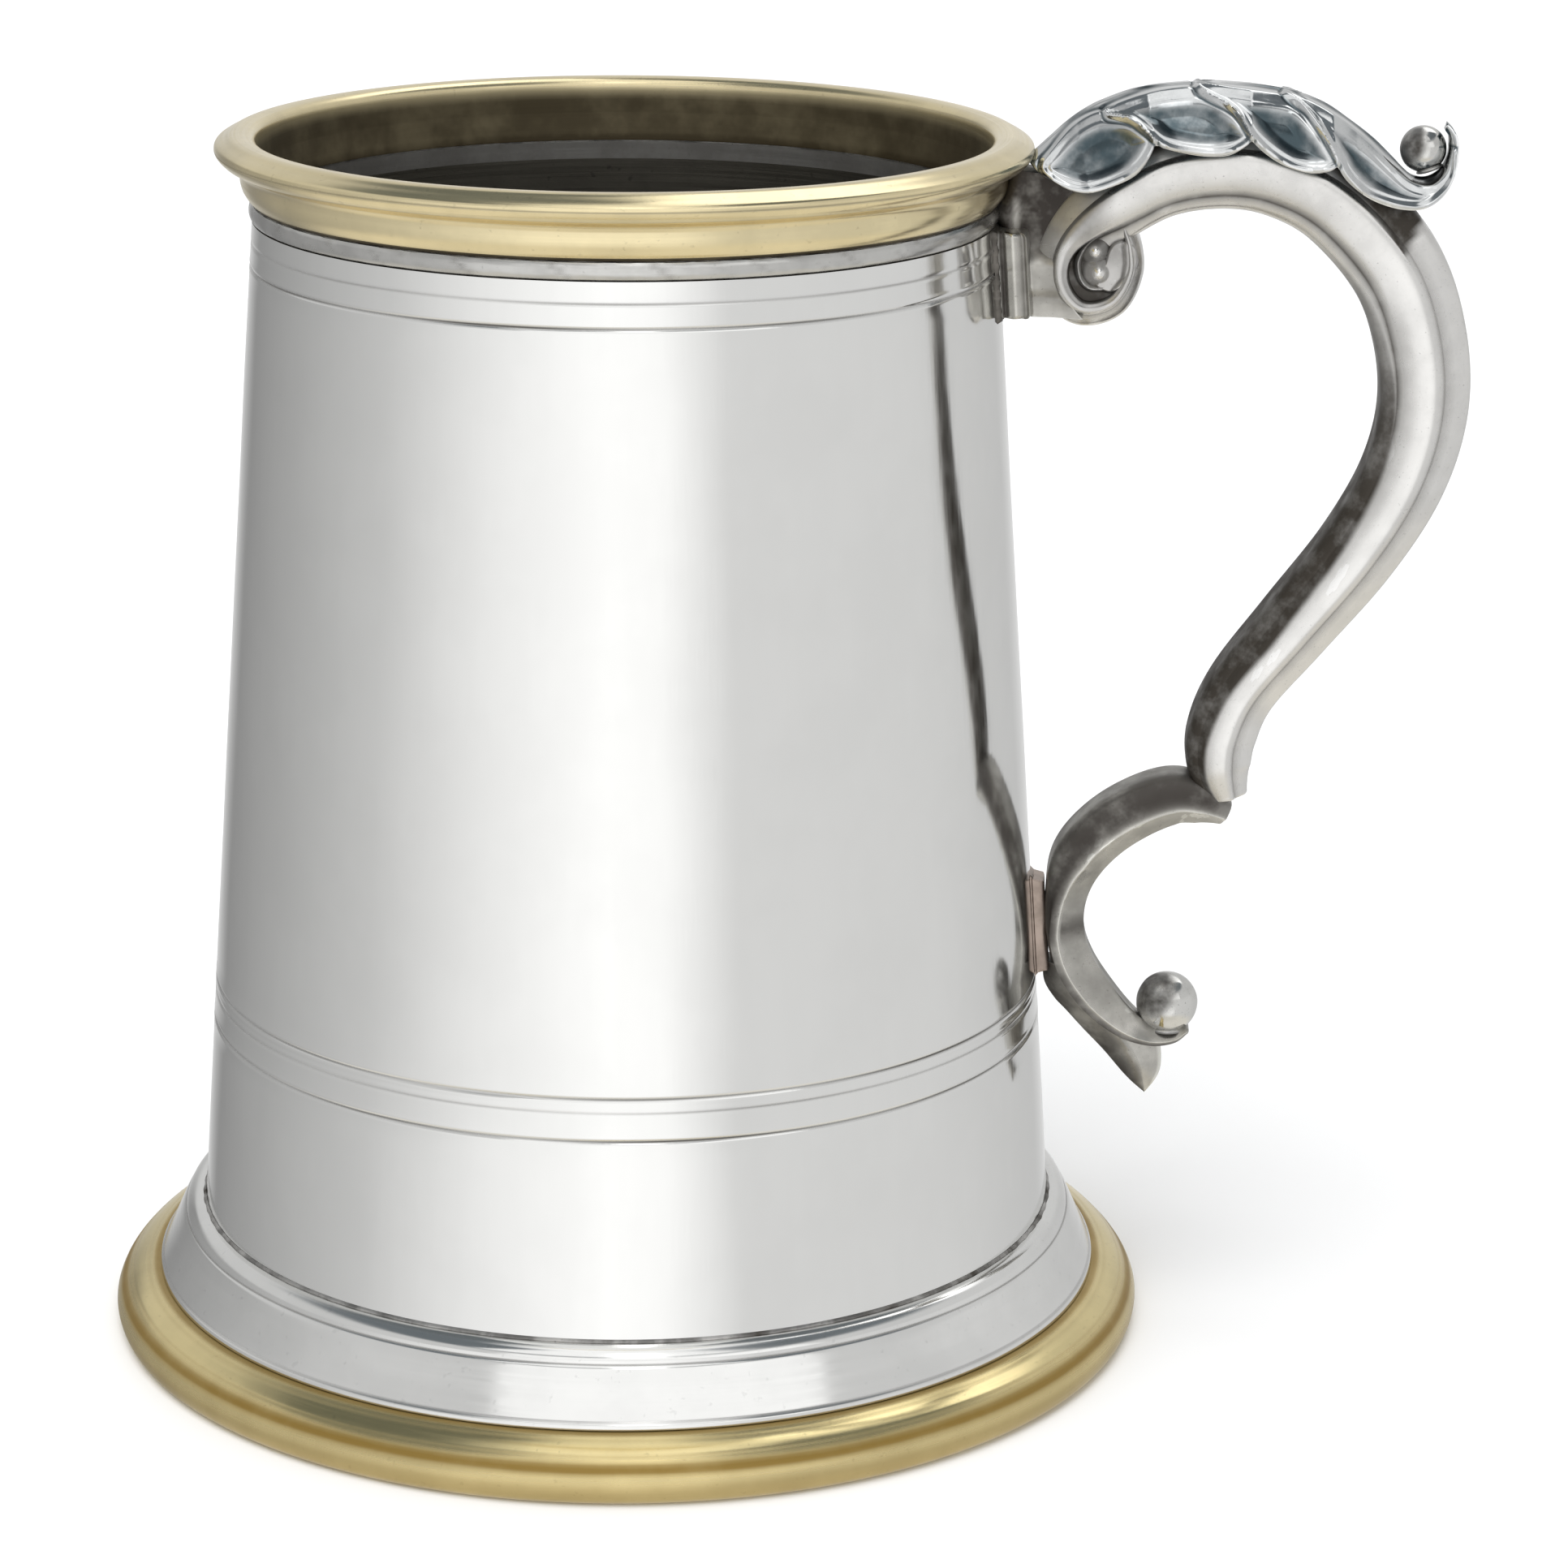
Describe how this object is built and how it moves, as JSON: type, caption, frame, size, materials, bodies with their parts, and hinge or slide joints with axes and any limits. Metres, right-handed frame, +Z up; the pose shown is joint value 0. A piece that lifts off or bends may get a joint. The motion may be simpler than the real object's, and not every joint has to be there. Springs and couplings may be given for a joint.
{
  "type": "tankard",
  "caption": "Tapered pewter drinking tankard with a brass rim mount, a brass foot ring and a cast double-scroll handle with a leaf thumb rest.",
  "frame": {"origin": "centre of the plane that the foot ring rests on, on the body's axis", "axes": "+Z up along the body's axis, +X towards the handle, +Y to the left of someone who looks along +X"},
  "size_m": [0.1414, 0.1102, 0.1328],
  "materials": {
    "pewter_body": "polished pewter with faint vertical brushing",
    "pewter_inside": "dull unpolished pewter",
    "pewter_foot": "bright polished pewter",
    "cast_pewter": "satin cast pewter, darker in the recesses",
    "bright_pewter": "burnished cast pewter",
    "aged_pewter": "oxidised cast pewter, worn bright on its edges",
    "brass_mount": "satin polished brass",
    "solder": "dull granular solder"
  },
  "bodies": {
    "root": {"body_drum": "pewter_body", "base_plate": "pewter_inside", "neck_ring": "pewter_foot", "rim_mount": "brass_mount", "rim_solder": "solder", "foot_skirt": "pewter_foot", "foot_solder": "solder", "foot_ring": "brass_mount", "handle_scroll": "cast_pewter", "volute_boss": "cast_pewter", "thumb_leaf": "bright_pewter", "thumb_ball": "bright_pewter", "upper_bracket": "aged_pewter", "upper_pad": "cast_pewter", "upper_solder": "solder", "lower_scroll": "aged_pewter", "lower_ball": "bright_pewter", "lower_pad": "aged_pewter", "lower_solder": "solder"}
  },
  "joints": []
}
